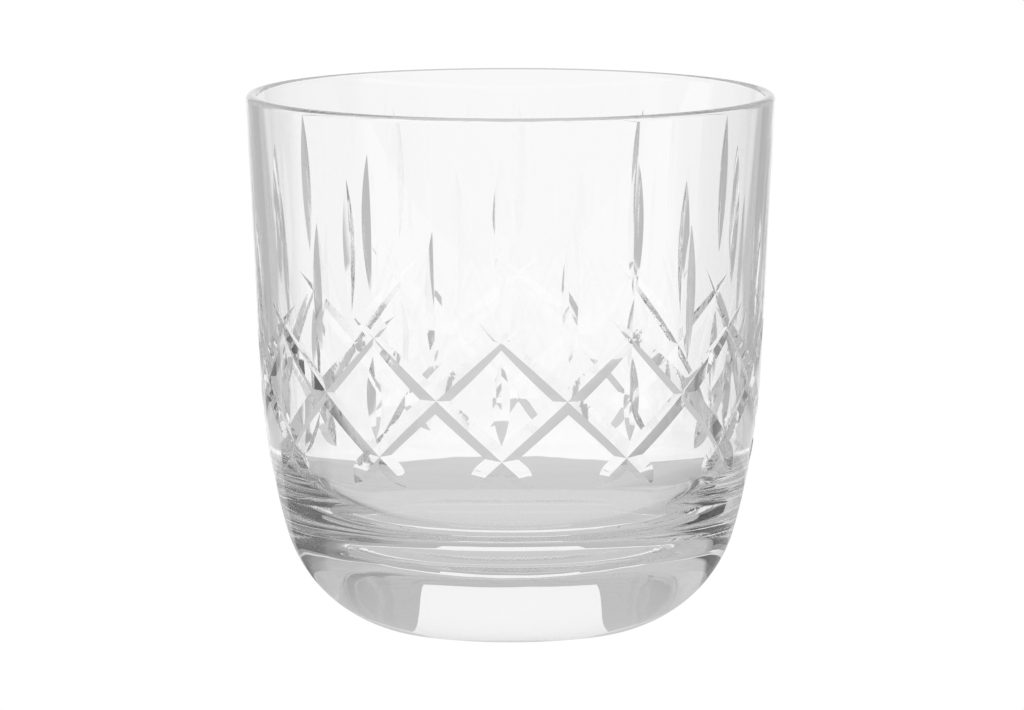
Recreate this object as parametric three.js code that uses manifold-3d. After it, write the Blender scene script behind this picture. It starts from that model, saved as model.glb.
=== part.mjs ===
// A cut-crystal whisky tumbler: one glass body, modelled in its three zones.
// The sham base is the solid foot, the cut wall carries the cutting, and the
// rim lip is the polished edge. The zones meet face to face on level planes.
// Millimetres, +Z up, origin at the centre of the flat base.

import * as THREE from 'three';
import { mergeVertices } from 'three/addons/utils/BufferGeometryUtils.js';
import Module from 'manifold-3d';

const wasm = await Module();
wasm.setup();

// ---- Driving dimensions ----

const HEIGHT = 91.8;
const RIM_RADIUS = 45.5;
const LIP_THICKNESS = 1.9;

const OUTER_TAPER = THREE.MathUtils.degToRad(2.8);
const SHOULDER_TOP = 44; // the straight wall turns into the shoulder here
const SHOULDER_ARC = 122;
const HEEL_SLOPE = THREE.MathUtils.degToRad(16); // wall slope where the heel starts
const HEEL_ARC = 24.3;

const INNER_TAPER = THREE.MathUtils.degToRad(3.7);
const FLOOR_HEIGHT = 13.5; // thickness of the solid glass under the drink
const FLOOR_DISH = 150; // radius of curvature of the shallow dish of the floor
const FLOOR_EDGE = 24; // radius at which the dish turns up into the fillet

const BASE_TOP = 28; // level plane between the sham base and the cut wall
const LIP_BOTTOM = 87.5; // level plane between the cut wall and the lip

// The cutting: a net of diagonal grooves with three rows of crossings, and
// upright flutes standing over and inside the net.
const REPEATS = 12;
const NET_TURN = THREE.MathUtils.degToRad(-2); // places a lowest crossing near -Y
const NET_BOTTOM = 33.7; // height of the lowest row of crossings
const NET_STEP = 10.2; // rise from one row of crossings to the next
const GROOVE_TAIL = 0.48; // how far a groove runs on below its lowest crossing, in steps
const GROOVE_HEAD = 0.39; // how far it runs on above its highest crossing, in steps
const GROOVE_DEPTH = 0.66;
const TAIL_RUNOUT = 4; // length over which the wheel leaves the glass at the tail
const HEAD_RUNOUT = 20; // the same at the head, where the groove fades out slowly
const FLUTE_DEPTH = 0.56;
const V_HALF_ANGLE = THREE.MathUtils.degToRad(70);
const CUTTER_HEIGHT = 2;

// Each ring of flutes: its row of crossings, the gap above that row, its length.
const FLUTE_RINGS = [
  { row: 0, above: 2.9, length: 14.4 },
  { row: 1, above: 5.3, length: 23.6 },
  { row: 2, above: 7, length: 24.2 },
];

const RING_SEGMENTS = 72;
const ARC_STEPS = 6;
const GROOVE_STEPS = 12;
const FLUTE_STEPS = 6;

// ---- Outline of the glass, as points of radius and height ----

const shoulderStart = RIM_RADIUS - (HEIGHT - SHOULDER_TOP) * Math.tan(OUTER_TAPER);
const shoulderCentre = new THREE.Vector2(
  shoulderStart - SHOULDER_ARC * Math.cos(OUTER_TAPER),
  SHOULDER_TOP + SHOULDER_ARC * Math.sin(OUTER_TAPER),
);
const heelCentre = new THREE.Vector2(
  shoulderCentre.x + (SHOULDER_ARC - HEEL_ARC) * Math.cos(HEEL_SLOPE),
  shoulderCentre.y - (SHOULDER_ARC - HEEL_ARC) * Math.sin(HEEL_SLOPE),
);
const heelTop = heelCentre.y - HEEL_ARC * Math.sin(HEEL_SLOPE);

function arcRadius(centre, arc, z) {
  return centre.x + Math.sqrt(arc ** 2 - (z - centre.y) ** 2);
}

function outerRadius(z) {
  if (z >= SHOULDER_TOP) return RIM_RADIUS - (HEIGHT - z) * Math.tan(OUTER_TAPER);
  if (z >= heelTop) return arcRadius(shoulderCentre, SHOULDER_ARC, z);
  return arcRadius(heelCentre, HEEL_ARC, z);
}

// The fillet touches the dish at its edge and the inner wall at the fillet's top.
const wallNormal = new THREE.Vector2(Math.cos(INNER_TAPER), -Math.sin(INNER_TAPER));
const wallTop = new THREE.Vector2(RIM_RADIUS - LIP_THICKNESS, HEIGHT);
const dishCentre = new THREE.Vector2(0, FLOOR_HEIGHT + FLOOR_DISH);
const dishSlope = Math.asin(FLOOR_EDGE / FLOOR_DISH);
const dishShare = Math.sin(dishSlope + INNER_TAPER);
const wallGap = wallTop.clone().sub(dishCentre).dot(wallNormal);
const filletArc = (wallGap - FLOOR_DISH * dishShare) / (1 - dishShare);
const filletCentre = new THREE.Vector2(
  (FLOOR_DISH - filletArc) * Math.sin(dishSlope),
  dishCentre.y - (FLOOR_DISH - filletArc) * Math.cos(dishSlope),
);
const filletTop = filletCentre.y - filletArc * Math.sin(INNER_TAPER);

// Radius of the inside at a height above the dish.
function innerRadius(z) {
  if (z >= filletTop) return wallTop.x - (HEIGHT - z) * Math.tan(INNER_TAPER);
  return arcRadius(filletCentre, filletArc, z);
}

// Points of one surface between two heights, ends included.
function surfacePoints(radiusAt, from, to, steps) {
  const points = [];
  for (let i = 0; i <= steps; i += 1) {
    const z = THREE.MathUtils.lerp(from, to, i / steps);
    points.push(new THREE.Vector2(radiusAt(z), z));
  }
  return points;
}

// Points round an arc from one angle to another, measured from the +radius axis.
function arcPoints(centre, radius, from, to, steps) {
  const points = [];
  for (let i = 0; i <= steps; i += 1) {
    const angle = THREE.MathUtils.lerp(from, to, i / steps);
    const x = centre.x + radius * Math.cos(angle);
    points.push(new THREE.Vector2(x, centre.y + radius * Math.sin(angle)));
  }
  return points;
}

// ---- Solids ----

// Turns an outline round the Z axis. LatheGeometry turns about Y.
function turned(points) {
  const geometry = new THREE.LatheGeometry(points, RING_SEGMENTS);
  geometry.rotateX(Math.PI / 2);
  return toSolid(geometry);
}

function toSolid(geometry) {
  const bare = geometry.clone();
  bare.deleteAttribute('normal');
  bare.deleteAttribute('uv');
  const merged = mergeVertices(bare, 1e-4);
  const mesh = new wasm.Mesh({
    numProp: 3,
    vertProperties: merged.attributes.position.array,
    triVerts: Uint32Array.from(merged.index.array),
  });
  return new wasm.Manifold(mesh);
}

function toGeometry(solid) {
  const mesh = solid.getMesh();
  const geometry = new THREE.BufferGeometry();
  geometry.setAttribute('position', new THREE.BufferAttribute(mesh.vertProperties, 3));
  geometry.setIndex(new THREE.BufferAttribute(mesh.triVerts, 1));
  geometry.computeVertexNormals();
  return geometry;
}

// The line that the keel of a cut follows: straight on the unrolled wall, and
// sunk below it by the depth of the cut at each point.
class KeelCurve extends THREE.Curve {
  constructor(start, end, depthAt) {
    super();
    this.start = start;
    this.end = end;
    this.depthAt = depthAt;
  }

  outward(t) {
    const turn = THREE.MathUtils.lerp(this.start.turn, this.end.turn, t);
    return new THREE.Vector3(Math.sin(turn), -Math.cos(turn), 0);
  }

  getPoint(t) {
    const z = THREE.MathUtils.lerp(this.start.z, this.end.z, t);
    const point = this.outward(t).multiplyScalar(outerRadius(z) - this.depthAt(t));
    return point.setZ(z);
  }

  // Frames that keep the cutter's section square to the wall.
  computeFrenetFrames(segments) {
    const frames = { tangents: [], normals: [], binormals: [] };
    for (let i = 0; i <= segments; i += 1) {
      const t = this.getUtoTmapping(i / segments);
      const tangent = this.getTangent(t);
      const normal = this.outward(t);
      normal.addScaledVector(tangent, -normal.dot(tangent)).normalize();
      frames.tangents.push(tangent);
      frames.normals.push(normal);
      frames.binormals.push(new THREE.Vector3().crossVectors(tangent, normal));
    }
    return frames;
  }
}

// The V-shaped rim of the cutting wheel, swept along the keel of one cut.
function cutter(start, end, steps, depthAt) {
  const halfWidth = CUTTER_HEIGHT * Math.tan(V_HALF_ANGLE);
  const section = new THREE.Shape([
    new THREE.Vector2(0, 0),
    new THREE.Vector2(CUTTER_HEIGHT, halfWidth),
    new THREE.Vector2(CUTTER_HEIGHT, -halfWidth),
  ]);
  const extrudePath = new KeelCurve(start, end, depthAt);
  const settings = { steps, bevelEnabled: false, extrudePath };
  return toSolid(new THREE.ExtrudeGeometry(section, settings));
}

function rowHeight(row) {
  return NET_BOTTOM + row * NET_STEP;
}

// One diagonal groove through a crossing of each row; side is +1 or -1.
function grooveCutter(repeat, side) {
  const stepTurn = Math.PI / REPEATS;
  const turnAt = (row) => NET_TURN + (2 * repeat + side * row) * stepTurn;
  const ends = [-GROOVE_TAIL, 2 + GROOVE_HEAD];
  const [start, end] = ends.map((row) => ({ turn: turnAt(row), z: rowHeight(row) }));
  const rise = end.z - start.z;
  const run = (end.turn - start.turn) * outerRadius(rowHeight(1));
  const length = Math.hypot(rise, run);
  const depthAt = (t) => {
    const tailLift = 1 - (t * length) / TAIL_RUNOUT;
    const headLift = 1 - ((1 - t) * length) / HEAD_RUNOUT;
    return GROOVE_DEPTH * (1 - Math.max(0, tailLift, headLift) ** 2);
  };
  return cutter(start, end, GROOVE_STEPS, depthAt);
}

// One upright flute, a lens-shaped bite of the wheel.
function fluteCutter(repeat, ring) {
  const turn = NET_TURN + (2 * repeat + (ring.row % 2)) * (Math.PI / REPEATS);
  const foot = rowHeight(ring.row) + ring.above;
  const depthAt = (t) => FLUTE_DEPTH * (1 - (2 * t - 1) ** 2);
  const start = { turn, z: foot };
  const end = { turn, z: foot + ring.length };
  return cutter(start, end, FLUTE_STEPS, depthAt);
}

// ---- The three zones ----

function shamBase() {
  const heelFoot = Math.asin(-heelCentre.y / HEEL_ARC);
  const filletFrom = Math.asin((BASE_TOP - filletCentre.y) / filletArc);
  const dishFrom = dishSlope - Math.PI / 2;
  return turned([
    new THREE.Vector2(0, 0),
    ...arcPoints(heelCentre, HEEL_ARC, heelFoot, -HEEL_SLOPE, 2 * ARC_STEPS),
    ...surfacePoints(outerRadius, heelTop, BASE_TOP, 2).slice(1),
    ...arcPoints(filletCentre, filletArc, filletFrom, dishFrom, ARC_STEPS),
    ...arcPoints(dishCentre, FLOOR_DISH, dishFrom, -Math.PI / 2, 4).slice(1, -1),
    new THREE.Vector2(0, FLOOR_HEIGHT),
  ]);
}

function cutWall() {
  const outline = [
    ...surfacePoints(outerRadius, BASE_TOP, SHOULDER_TOP, 4),
    new THREE.Vector2(outerRadius(LIP_BOTTOM), LIP_BOTTOM),
    new THREE.Vector2(innerRadius(LIP_BOTTOM), LIP_BOTTOM),
    ...surfacePoints(innerRadius, filletTop, BASE_TOP, ARC_STEPS),
  ];
  outline.push(outline[0].clone());
  let wall = turned(outline);
  for (let repeat = 0; repeat < REPEATS; repeat += 1) {
    wall = wall.subtract(grooveCutter(repeat, 1)).subtract(grooveCutter(repeat, -1));
    for (const ring of FLUTE_RINGS) wall = wall.subtract(fluteCutter(repeat, ring));
  }
  return wall;
}

function rimLip() {
  const round = LIP_THICKNESS / 2;
  const centre = new THREE.Vector2(RIM_RADIUS - round, HEIGHT - round);
  const outline = [
    new THREE.Vector2(outerRadius(LIP_BOTTOM), LIP_BOTTOM),
    ...arcPoints(centre, round, 0, Math.PI, 2 * ARC_STEPS),
    new THREE.Vector2(innerRadius(LIP_BOTTOM), LIP_BOTTOM),
  ];
  outline.push(outline[0].clone());
  return turned(outline);
}

function namedMesh(name, solid) {
  const glass = new THREE.MeshStandardMaterial({
    color: 0xf2f5f5,
    roughness: 0.02,
    metalness: 0,
  });
  const mesh = new THREE.Mesh(toGeometry(solid), glass);
  mesh.name = name;
  return mesh;
}

const tumbler = new THREE.Group();
tumbler.add(namedMesh('sham_base', shamBase()));
tumbler.add(namedMesh('cut_wall', cutWall()));
tumbler.add(namedMesh('rim_lip', rimLip()));

export default tumbler;
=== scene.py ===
"""A cut-crystal whisky tumbler standing on a white studio floor.

The glass is one closed mesh: an outline turned round the Z axis, with the
diagonal grooves and upright flutes cut into it by V-shaped wheels.
"""

import math

import bmesh
import bpy
import numpy as np
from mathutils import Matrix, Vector


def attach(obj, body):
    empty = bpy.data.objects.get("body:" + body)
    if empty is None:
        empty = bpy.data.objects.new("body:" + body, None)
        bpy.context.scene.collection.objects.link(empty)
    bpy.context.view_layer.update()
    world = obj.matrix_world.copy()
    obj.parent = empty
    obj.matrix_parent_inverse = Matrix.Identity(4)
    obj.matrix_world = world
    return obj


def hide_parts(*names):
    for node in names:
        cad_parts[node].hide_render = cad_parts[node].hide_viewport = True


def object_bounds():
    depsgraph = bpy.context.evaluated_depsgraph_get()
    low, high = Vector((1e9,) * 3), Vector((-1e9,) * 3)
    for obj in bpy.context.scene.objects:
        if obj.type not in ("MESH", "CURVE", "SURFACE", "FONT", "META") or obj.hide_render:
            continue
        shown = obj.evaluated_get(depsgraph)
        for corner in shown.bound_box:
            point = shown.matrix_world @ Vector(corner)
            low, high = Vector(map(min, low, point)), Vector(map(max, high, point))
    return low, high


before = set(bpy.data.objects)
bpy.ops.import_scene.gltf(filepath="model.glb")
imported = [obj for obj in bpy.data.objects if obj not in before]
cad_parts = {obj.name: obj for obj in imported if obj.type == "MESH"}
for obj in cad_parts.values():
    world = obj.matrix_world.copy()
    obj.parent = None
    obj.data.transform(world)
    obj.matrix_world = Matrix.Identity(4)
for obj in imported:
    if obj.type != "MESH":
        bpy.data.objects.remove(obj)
cad_low, cad_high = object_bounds()

MM = 0.001

# ---- The outline of the glass ----

HEIGHT = cad_high.z
RIM_RADIUS = cad_high.x
LIP_THICKNESS = 1.9 * MM
OUTER_TAPER = math.radians(2.8)
SHOULDER_TOP = 44 * MM
SHOULDER_ARC = 122 * MM
HEEL_SLOPE = math.radians(16)
HEEL_ARC = 24.3 * MM
INNER_TAPER = math.radians(3.7)
FLOOR_HEIGHT = 13.5 * MM
FLOOR_DISH = 150 * MM
FLOOR_EDGE = 24 * MM

# ---- The cutting ----

REPEATS = 12
NET_TURN = math.radians(-2)
NET_BOTTOM = 33.7 * MM
NET_STEP = 10.2 * MM
TOP_ROW = 2
# How far the grooves pass the net's bottom and top rows of crossings, in rows.
GROOVE_TAIL, GROOVE_HEAD = 0.48, 0.39
GROOVE_DEPTH = 0.66 * MM
TAIL_RUNOUT, HEAD_RUNOUT = 4 * MM, 20 * MM
FLUTE_DEPTH = 0.56 * MM
V_HALF_ANGLE = math.radians(70)
CUTTER_HEIGHT = 2 * MM
GROOVE_STEPS, FLUTE_STEPS = 64, 40
# Each ring of flutes stands above the crossings of its row.
FLUTE_RINGS = [
    {"row": 0, "above": 2.9 * MM, "length": 14.4 * MM},
    {"row": 1, "above": 5.3 * MM, "length": 23.6 * MM},
    {"row": 2, "above": 7.0 * MM, "length": 24.2 * MM},
]

RING_SEGMENTS = 360
CREASE = math.radians(10)
# A face nearer to the outline than this is polished glass, and not a cut.
POLISH_GAP = 0.03 * MM
# Edges shorter than SLIVER are closed up. TINY keeps a division safe at the axis.
SLIVER = 1e-7
TINY = 1e-9


def unit(angle):
    return np.array([math.cos(angle), math.sin(angle)])


def mesh_object(name, bm):
    mesh = bpy.data.meshes.new(name)
    bm.to_mesh(mesh)
    bm.free()
    made = bpy.data.objects.new(name, mesh)
    bpy.context.scene.collection.objects.link(made)
    return made


class Line:
    """A straight stretch of the outline, from start to end, as radius and height."""

    def __init__(self, start, end, steps):
        self.start, self.end = np.array(start), np.array(end)
        along = (self.end - self.start) / np.linalg.norm(self.end - self.start)
        self.normal = np.array([along[1], -along[0]])
        self.steps = steps

    def points(self):
        return [self.start + (self.end - self.start) * i / self.steps for i in range(self.steps + 1)]

    def distance(self, rz):
        return np.abs((rz - self.start) @ self.normal)

    def normals(self, rz):
        return np.broadcast_to(self.normal, rz.shape)


class Arc:
    """A round stretch of the outline; sign is -1 where the glass is outside the arc."""

    def __init__(self, centre, radius, start, end, steps):
        self.centre, self.radius = np.array(centre), radius
        self.start, self.end, self.steps = start, end, steps
        self.sign = 1 if end > start else -1

    def points(self):
        turns = [self.start + (self.end - self.start) * i / self.steps for i in range(self.steps + 1)]
        return [self.centre + self.radius * unit(turn) for turn in turns]

    def distance(self, rz):
        return np.abs(np.linalg.norm(rz - self.centre, axis=-1) - self.radius)

    def normals(self, rz):
        away = rz - self.centre
        return self.sign * away / np.linalg.norm(away, axis=-1, keepdims=True)


def outline():
    """The stretches from the middle of the base, up the outside and down the inside."""
    shoulder_radius = RIM_RADIUS - (HEIGHT - SHOULDER_TOP) * math.tan(OUTER_TAPER)
    shoulder = np.array([shoulder_radius, SHOULDER_TOP]) - SHOULDER_ARC * unit(-OUTER_TAPER)
    heel = shoulder + (SHOULDER_ARC - HEEL_ARC) * unit(-HEEL_SLOPE)
    heel_foot = -math.asin(heel[1] / HEEL_ARC)
    foot_radius = heel[0] + HEEL_ARC * math.cos(heel_foot)
    outer_share = (1 + math.sin(OUTER_TAPER)) / math.cos(OUTER_TAPER)
    inner_share = (1 - math.sin(INNER_TAPER)) / math.cos(INNER_TAPER)
    lip_arc = LIP_THICKNESS / (outer_share + inner_share)
    lip = np.array([RIM_RADIUS - lip_arc * outer_share, HEIGHT - lip_arc])
    lip_end = lip + lip_arc * unit(math.pi - INNER_TAPER)
    wall_normal = unit(-INNER_TAPER)
    dish = np.array([0, FLOOR_HEIGHT + FLOOR_DISH])
    dish_edge = math.asin(FLOOR_EDGE / FLOOR_DISH) - math.pi / 2
    dish_share = unit(dish_edge) @ wall_normal
    fillet_arc = ((lip_end - dish) @ wall_normal - FLOOR_DISH * dish_share) / (1 - dish_share)
    fillet = dish + (FLOOR_DISH - fillet_arc) * unit(dish_edge)
    return [
        Line((0, 0), (foot_radius, 0), steps=4),
        Arc(heel, HEEL_ARC, heel_foot, -HEEL_SLOPE, steps=40),
        Arc(shoulder, SHOULDER_ARC, -HEEL_SLOPE, -OUTER_TAPER, steps=16),
        Line((shoulder_radius, SHOULDER_TOP), lip + lip_arc * unit(-OUTER_TAPER), steps=10),
        Arc(lip, lip_arc, -OUTER_TAPER, math.pi - INNER_TAPER, steps=16),
        Line(lip_end, fillet + fillet_arc * wall_normal, steps=10),
        Arc(fillet, fillet_arc, -INNER_TAPER, dish_edge, steps=44),
        Arc(dish, FLOOR_DISH, dish_edge, -math.pi / 2, steps=12),
    ]


def outer_radius(stretches, z):
    """The radius of the uncut outside at height z."""
    _, heel, shoulder, wall = stretches[:4]
    if z >= SHOULDER_TOP:
        return wall.start[0] + (z - SHOULDER_TOP) * math.tan(OUTER_TAPER)
    arc = shoulder if z >= shoulder.points()[0][1] else heel
    return arc.centre[0] + math.sqrt(arc.radius**2 - (z - arc.centre[1]) ** 2)


def turned_glass(stretches):
    """The uncut glass: the outline turned round the Z axis."""
    rings = [stretches[0].points()[0]]
    for stretch in stretches:
        rings += stretch.points()[1:]
    turns = [math.tau * i / RING_SEGMENTS for i in range(RING_SEGMENTS)]
    bm = bmesh.new()
    loops = [
        [bm.verts.new((radius * math.cos(turn), radius * math.sin(turn), z)) for turn in turns]
        for radius, z in rings[1:-1]
    ]
    for low, high in zip(loops, loops[1:]):
        for i in range(RING_SEGMENTS):
            j = (i + 1) % RING_SEGMENTS
            bm.faces.new((low[i], low[j], high[j], high[i]))
    base, floor = bm.verts.new((0, 0, rings[0][1])), bm.verts.new((0, 0, rings[-1][1]))
    for i in range(RING_SEGMENTS):
        j = (i + 1) % RING_SEGMENTS
        bm.faces.new((base, loops[0][j], loops[0][i]))
        bm.faces.new((floor, loops[-1][i], loops[-1][j]))
    return mesh_object("tumbler_glass", bm)


# ---- Cutting wheels ----


def add_cut(bm, stretches, start, end, steps, depth_at):
    """Sweeps the V rim of a wheel from start to end, each a (turn, z) on the unrolled wall."""
    keel, frames = [], []
    for i in range(steps + 1):
        t = i / steps
        turn = start[0] + (end[0] - start[0]) * t
        z = start[1] + (end[1] - start[1]) * t
        out = Vector((math.sin(turn), -math.cos(turn), 0))
        keel.append(out * (outer_radius(stretches, z) - depth_at(t)) + Vector((0, 0, z)))
        frames.append(out)
    half_width = CUTTER_HEIGHT * math.tan(V_HALF_ANGLE)
    sections = []
    for i, point in enumerate(keel):
        along = (keel[min(i + 1, steps)] - keel[max(i - 1, 0)]).normalized()
        out = (frames[i] - along * frames[i].dot(along)).normalized()
        side = along.cross(out)
        top = point + out * CUTTER_HEIGHT
        corners = [point, top + side * half_width, top - side * half_width]
        sections.append([bm.verts.new(corner) for corner in corners])
    for near, far in zip(sections, sections[1:]):
        for i in range(3):
            j = (i + 1) % 3
            bm.faces.new((near[i], far[i], far[j], near[j]))
    bm.faces.new(sections[0])
    bm.faces.new(sections[-1][::-1])


def row_height(row):
    return NET_BOTTOM + row * NET_STEP


def groove_wheels(stretches, side):
    """All the diagonal grooves that lean one way; side is +1 or -1."""
    bm = bmesh.new()
    first, last = -GROOVE_TAIL, TOP_ROW + GROOVE_HEAD
    rise = row_height(last) - row_height(first)
    run = (last - first) * math.pi / REPEATS * outer_radius(stretches, row_height(TOP_ROW / 2))
    length = math.hypot(rise, run)

    def depth_at(t):
        lift = max(0, 1 - t * length / TAIL_RUNOUT, 1 - (1 - t) * length / HEAD_RUNOUT)
        return GROOVE_DEPTH * (1 - lift**2)

    for repeat in range(REPEATS):
        ends = [
            (NET_TURN + (2 * repeat + side * row) * math.pi / REPEATS, row_height(row))
            for row in (first, last)
        ]
        add_cut(bm, stretches, *ends, GROOVE_STEPS, depth_at)
    return mesh_object("groove_wheels", bm)


def flute_wheels(stretches, ring):
    """One ring of upright lens-shaped flutes."""
    bm = bmesh.new()
    foot = row_height(ring["row"]) + ring["above"]

    def depth_at(t):
        return FLUTE_DEPTH * (1 - (2 * t - 1) ** 2)

    for repeat in range(REPEATS):
        turn = NET_TURN + (2 * repeat + ring["row"] % 2) * math.pi / REPEATS
        add_cut(bm, stretches, (turn, foot), (turn, foot + ring["length"]), FLUTE_STEPS, depth_at)
    return mesh_object("flute_wheels", bm)


def cut_glass():
    """The finished glass: the turned glass with every wheel's cuts taken out of it."""
    stretches = outline()
    glass = turned_glass(stretches)
    wheels = [groove_wheels(stretches, side) for side in (1, -1)]
    wheels += [flute_wheels(stretches, ring) for ring in FLUTE_RINGS]
    for wheel in wheels:
        fix_normals(wheel)
        cut = glass.modifiers.new("cut", "BOOLEAN")
        cut.operation, cut.solver, cut.object = "DIFFERENCE", "MANIFOLD", wheel
    depsgraph = bpy.context.evaluated_depsgraph_get()
    applied = bpy.data.meshes.new_from_object(glass.evaluated_get(depsgraph))
    glass.modifiers.clear()
    glass.data = applied
    for wheel in wheels:
        bpy.data.objects.remove(wheel)
    crisp_edges(applied)
    smooth_polish(applied, stretches)
    return glass


def fix_normals(made):
    bm = bmesh.new()
    bm.from_mesh(made.data)
    bmesh.ops.recalc_face_normals(bm, faces=bm.faces)
    bm.to_mesh(made.data)
    bm.free()


def crisp_edges(mesh):
    """Splits the mesh into triangles, with a sharp edge round every cut."""
    bm = bmesh.new()
    bm.from_mesh(mesh)
    bmesh.ops.triangulate(bm, faces=bm.faces)
    bmesh.ops.dissolve_degenerate(bm, dist=SLIVER, edges=bm.edges)
    for edge in bm.edges:
        edge.smooth = len(edge.link_faces) == 2 and edge.calc_face_angle(0) < CREASE
    for face in bm.faces:
        face.smooth = True
    bm.to_mesh(mesh)
    bm.free()


def read(items, name, kind=float, width=1):
    """One property of all the items of a mesh, as an array."""
    values = np.empty(len(items) * width, kind)
    items.foreach_get(name, values)
    return values if width == 1 else values.reshape(-1, width)


def flattened(points):
    """The points as radius and height."""
    return np.stack([np.hypot(points[:, 0], points[:, 1]), points[:, 2]], axis=1)


def swept(flat, points):
    """The outline's normals, flat, turned round the Z axis to where the points are."""
    radius = np.hypot(points[:, 0], points[:, 1])
    away = points[:, :2] / np.maximum(radius, TINY)[:, None]
    return np.concatenate([away * flat[:, :1], flat[:, 1:]], axis=1)


def smooth_polish(mesh, stretches):
    """Gives the turned surfaces their true normals, and marks the faces of the cuts."""
    totals = read(mesh.polygons, "loop_total", int)
    centres = read(mesh.polygons, "center", width=3)
    normals = read(mesh.polygons, "normal", width=3)
    corners = read(mesh.vertices, "co", width=3)[read(mesh.loops, "vertex_index", int)]
    flat_centres, flat_corners = flattened(centres), flattened(corners)
    custom = np.zeros_like(corners)
    best = np.full(len(centres), POLISH_GAP)
    for stretch in stretches:
        true = swept(stretch.normals(flat_centres), centres)
        aligned = (true * normals).sum(axis=1) > math.cos(CREASE)
        gap = stretch.distance(flat_centres)
        mine = aligned & (gap < best)
        best = np.where(mine, gap, best)
        loops = np.repeat(mine, totals)
        custom[loops] = swept(stretch.normals(flat_corners), corners)[loops]
    mesh.normals_split_custom_set([tuple(normal) for normal in custom])
    cut = mesh.attributes.new("cut", "FLOAT", "FACE")
    cut.data.foreach_set("value", (best >= POLISH_GAP).astype(np.float32))


# ---- Materials ----

WHITE = 1, 1, 1, 1
BLACK = 0, 0, 0, 1

CRYSTAL_IOR = 1.53
ABSORPTION = 0.8
# Roughness runs between these two levels: the wheel leaves the cuts a little
# satin, and the fire-polished glass carries only faint smears.
CUT_ROUGHNESS = 0.015, 0.06
POLISHED_ROUGHNESS = 0.0, 0.012
GRAIN_SCALE, SMEAR_SCALE, WAVE_SCALE = 1400, 120, 70
GRAIN_HEIGHT, WAVE_HEIGHT = 0.002 * MM, 0.05 * MM
# The waves in the polished glass grow from nothing at WAVE_TOP to WAVE_HEIGHT
# at WAVE_FULL and below.
WAVE_TOP, WAVE_FULL = 50 * MM, 25 * MM


class Shading:
    """Adds the nodes of one material or world."""

    def __init__(self, tree):
        self.nodes, self.links = tree.nodes, tree.links

    def fill(self, socket, value):
        """Links the socket to value where that is another socket, and sets it where not."""
        if isinstance(value, bpy.types.NodeSocket):
            self.links.new(value, socket)
        else:
            socket.default_value = value

    def node(self, kind, *values, **settings):
        made = self.nodes.new(kind)
        for name, value in settings.items():
            setattr(made, name, value)
        for socket, value in zip(made.inputs, values):
            self.fill(socket, value)
        return made

    def math(self, operation, *values):
        return self.node("ShaderNodeMath", *values, operation=operation).outputs[0]

    def rescale(self, value, low, high, new_low, new_high):
        """Value moved from the range low to high to the range new_low to new_high."""
        return self.node("ShaderNodeMapRange", value, low, high, new_low, new_high).outputs["Result"]

    def ramp(self, value, stops):
        """The level at value; each stop is a place and its level, in rising order of place."""
        first, last = stops[0][0], stops[-1][0]
        share = self.math("DIVIDE", self.math("SUBTRACT", value, first), last - first)
        made = self.node("ShaderNodeValToRGB", share)
        made.color_ramp.interpolation = "EASE"
        elements = made.color_ramp.elements
        while len(elements) < len(stops):
            elements.new(0.5)
        for element, (place, level) in zip(elements, stops):
            element.position = (place - first) / (last - first)
            element.color = (level, level, level, 1)
        return made.outputs["Color"]

    def blend(self, share, first, second):
        made = self.node("ShaderNodeMix", share, data_type="FLOAT")
        self.fill(made.inputs["A"], first)
        self.fill(made.inputs["B"], second)
        return made.outputs["Result"]

    def split(self, vector):
        return self.node("ShaderNodeSeparateXYZ", vector).outputs

    def between(self, value, low, high):
        above = self.math("GREATER_THAN", value, low)
        return self.math("MULTIPLY", above, self.math("LESS_THAN", value, high))

    def bearing(self, parts):
        return self.math("DEGREES", self.math("ARCTAN2", parts["X"], parts["Y"]))

    def within(self, value, limit):
        return self.math("LESS_THAN", self.math("ABSOLUTE", value), limit)

    def white_to_camera(self, level):
        """The level for the glass; the camera itself sees plain white."""
        seen = self.node("ShaderNodeLightPath").outputs["Is Camera Ray"]
        return self.math("MAXIMUM", level, seen)


def crystal():
    """Clear cut crystal: satin grain in the cuts, smears and low waves on the rest."""
    made = bpy.data.materials.new("crystal")
    made.use_nodes = True
    tree = Shading(made.node_tree)
    shader = tree.nodes["Principled BSDF"]
    place = tree.node("ShaderNodeTexCoord").outputs["Object"]
    cut = tree.node("ShaderNodeAttribute", attribute_name="cut").outputs["Fac"]
    grain, smear, waves = [
        tree.node("ShaderNodeTexNoise", place, 0.0, scale).outputs["Fac"]
        for scale in (GRAIN_SCALE, SMEAR_SCALE, WAVE_SCALE)
    ]
    polished, satin = tree.blend(smear, *POLISHED_ROUGHNESS), tree.blend(grain, *CUT_ROUGHNESS)
    wave_height = tree.rescale(tree.split(place)["Z"], WAVE_TOP, WAVE_FULL, 0.0, WAVE_HEIGHT)
    swell = tree.math("MULTIPLY", waves, wave_height)
    height = tree.blend(cut, swell, tree.math("MULTIPLY", grain, GRAIN_HEIGHT))
    bump = tree.node("ShaderNodeBump")
    tree.fill(bump.inputs["Distance"], 1)
    tree.fill(bump.inputs["Height"], height)
    for name, value in {
        "Base Color": WHITE,
        "Transmission Weight": 1,
        "IOR": CRYSTAL_IOR,
        "Roughness": tree.blend(cut, polished, satin),
        "Normal": bump.outputs["Normal"],
    }.items():
        tree.fill(shader.inputs[name], value)
    absorb = tree.node("ShaderNodeVolumeAbsorption", BLACK, ABSORPTION)
    tree.fill(tree.nodes["Material Output"].inputs["Volume"], absorb.outputs["Volume"])
    return made


# ---- Studio ----

FLOOR_REACH, FLOOR_SIDES = 6, 96
FLOOR_DROP = 0.2 * MM

# Light levels round the glass, as the glass sees them. Bearings are degrees
# clockwise from straight behind it, seen from above. Heights are degrees above
# the horizon. Distances are metres from its axis.

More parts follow.
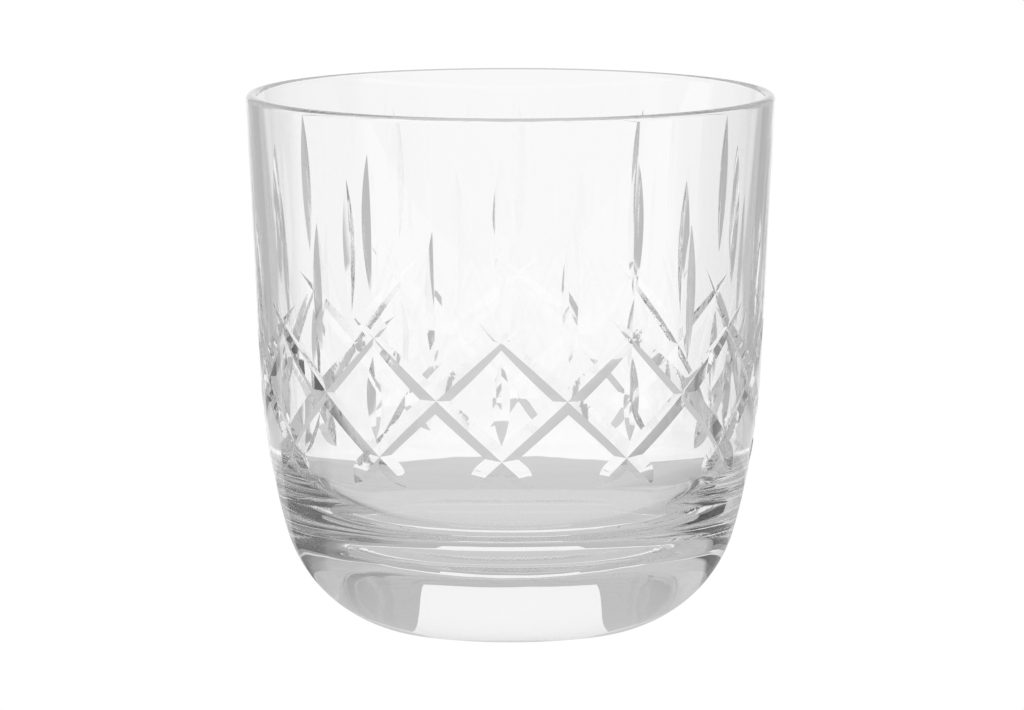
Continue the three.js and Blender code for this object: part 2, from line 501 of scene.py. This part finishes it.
# The paper that covers the floor from PAPER_START on, in full from PAPER_FULL on, white behind
# and in front of the glass with painted shade at its sides. Behind the glass its white stretch
# narrows by PAPER_TAPER on each side.
PAPER_WITH_PAINTED_SHADE_STOPS = [
    (-180, 1.0), (-75, 1.0), (-70, 0.5), (-34, 0.46), (-32, 0.955),
    (32, 0.955), (34, 0.46), (70, 0.45), (100, 0.45), (110, 1.0), (180, 1.0),
]
PAPER_WIDE, PAPER_NARROW, PAPER_TAPER = 0.2, 0.4, 14
PAPER_BEHIND = 50
PAPER_START, PAPER_FULL = 0.18, 0.26

# The floor inside the paper: painted shade on a disc round the glass and full light beyond it, by
# distance, times the painted side shade on a ring close round the glass.
FLOOR_SHADE_RINGS = [(0.0, 0.62), (0.141, 0.62), (0.143, 1.0), (0.16, 1.0)]
SIDE_SHADE_STOPS = [
    (-180, 1.0), (-100, 1.0), (-92, 0.16), (-56, 0.16), (-48, 1.0),
    (22, 1.0), (30, 0.88), (40, 0.82), (54, 0.66), (70, 0.45), (95, 0.45), (120, 1.0), (180, 1.0),
]
SIDE_SHADE_START, SIDE_SHADE_END = 0.045, 0.16

# The walls, the ceiling above ROOM_TOP, the window behind the glass and the
# dark card at its side.
ROOM_STOPS = [
    (-180, 0.62), (-130, 0.66), (-112, 0.78), (-106, 0.78), (-103, 0.33), (-77, 0.3), (-73, 0.42),
    (-67, 0.58), (-35, 0.54), (32, 0.52), (44, 0.42), (54, 0.28), (68, 0.15), (100, 0.14),
    (128, 0.28), (142, 0.55), (180, 0.62),
]
ROOM_TOP = 45
CEILING = 0.64
WINDOW_HALF_WIDTH, WINDOW_TOP = 17.6, 16
CARD_FROM, CARD_TO = -104, -77
CARD_BOTTOM, CARD_TOP = 5, 38
CARD_LEVEL = 0.04


def empty_tree(made):
    made.use_nodes = True
    made.node_tree.nodes.clear()
    return Shading(made.node_tree)


def studio_floor_painted_light():
    bm = bmesh.new()
    bmesh.ops.create_circle(bm, cap_ends=True, segments=FLOOR_SIDES, radius=FLOOR_REACH)
    floor = mesh_object("studio_floor_painted_light", bm)
    floor.location.z = -FLOOR_DROP
    # Painted light: the floor is no lamp but glows, white to the camera and with painted light and
    # shade where the glass sees it.
    made = bpy.data.materials.new("studio_floor_painted_light")
    tree = empty_tree(made)
    place = tree.node("ShaderNodeTexCoord").outputs["Object"]
    distance = tree.node("ShaderNodeVectorMath", place, operation="LENGTH").outputs["Value"]
    bearing = tree.bearing(tree.split(place))
    taper = tree.rescale(distance, PAPER_WIDE, PAPER_NARROW, 0.0, PAPER_TAPER)
    behind = tree.within(bearing, PAPER_BEHIND)
    side = tree.math("MULTIPLY", tree.math("SIGN", bearing), behind)
    # Painted light and shade on the paper by bearing: white behind and in front, painted shade at the
    # sides.
    paper_with_painted_shade = tree.ramp(tree.math("MULTIPLY_ADD", taper, side, bearing), PAPER_WITH_PAINTED_SHADE_STOPS)
    shaded = tree.between(distance, SIDE_SHADE_START, SIDE_SHADE_END)
    shade = tree.blend(shaded, 1.0, tree.ramp(bearing, SIDE_SHADE_STOPS))
    # Painted shade close round the glass: the shaded disc times the painted side shade.
    near = tree.math("MULTIPLY", tree.ramp(distance, FLOOR_SHADE_RINGS), shade)
    far = tree.rescale(distance, PAPER_START, PAPER_FULL, 0.0, 1.0)
    level = tree.white_to_camera(tree.blend(far, near, paper_with_painted_shade))
    # The floor's glow carries the painted light and shade levels.
    glow = tree.node("ShaderNodeEmission", WHITE, level).outputs["Emission"]
    tree.node("ShaderNodeOutputMaterial", glow)
    floor.data.materials.append(made)


def studio_room():
    made = bpy.data.worlds.new("studio_room")
    bpy.context.scene.world = made
    tree = empty_tree(made)
    parts = tree.split(tree.node("ShaderNodeTexCoord").outputs["Generated"])
    height = tree.math("DEGREES", tree.math("ARCSINE", parts["Z"]))
    bearing = tree.bearing(parts)
    across = tree.within(bearing, WINDOW_HALF_WIDTH)
    window = tree.math("MULTIPLY", across, tree.math("LESS_THAN", height, WINDOW_TOP))
    card_width = tree.between(bearing, CARD_FROM, CARD_TO)
    card = tree.math("MULTIPLY", card_width, tree.between(height, CARD_BOTTOM, CARD_TOP))
    walls = tree.blend(card, tree.ramp(bearing, ROOM_STOPS), CARD_LEVEL)
    room = tree.blend(tree.math("GREATER_THAN", height, ROOM_TOP), walls, CEILING)
    level = tree.white_to_camera(tree.math("MAXIMUM", room, window))
    back = tree.node("ShaderNodeBackground", WHITE, level).outputs["Background"]
    tree.node("ShaderNodeOutputWorld", back)


# ---- Camera ----

CAMERA_LENS, CAMERA_SENSOR = 264.9, 36
CAMERA_DISTANCE = 1.3
CAMERA_ELEVATION = math.radians(7.59)
CAMERA_TARGET = 0.26 * MM, 0, 46.3 * MM
CAMERA_REACH = 100


def camera():
    data = bpy.data.cameras.new("camera")
    data.lens, data.sensor_width = CAMERA_LENS, CAMERA_SENSOR
    data.clip_end = CAMERA_REACH
    made = bpy.data.objects.new("camera", data)
    bpy.context.scene.collection.objects.link(made)
    back = Vector((0, -math.cos(CAMERA_ELEVATION), math.sin(CAMERA_ELEVATION)))
    made.location = Vector(CAMERA_TARGET) + back * CAMERA_DISTANCE
    made.rotation_euler = (-back).to_track_quat("-Z", "Y").to_euler()
    bpy.context.scene.camera = made


# ---- The whole scene ----

camera()
studio_room()
studio_floor_painted_light()
glass = cut_glass()
glass.data.materials.clear()
glass.data.materials.append(crystal())
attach(glass, "root")
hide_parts("sham_base", "cut_wall", "rim_lip")

# Light turns many times inside thick glass before it leaves: each reflection
# off the inside counts as glossy.
scene = bpy.context.scene
scene.view_settings.view_transform = "Standard"
scene.cycles.max_bounces = 128
scene.cycles.transmission_bounces = 64
scene.cycles.glossy_bounces = 96
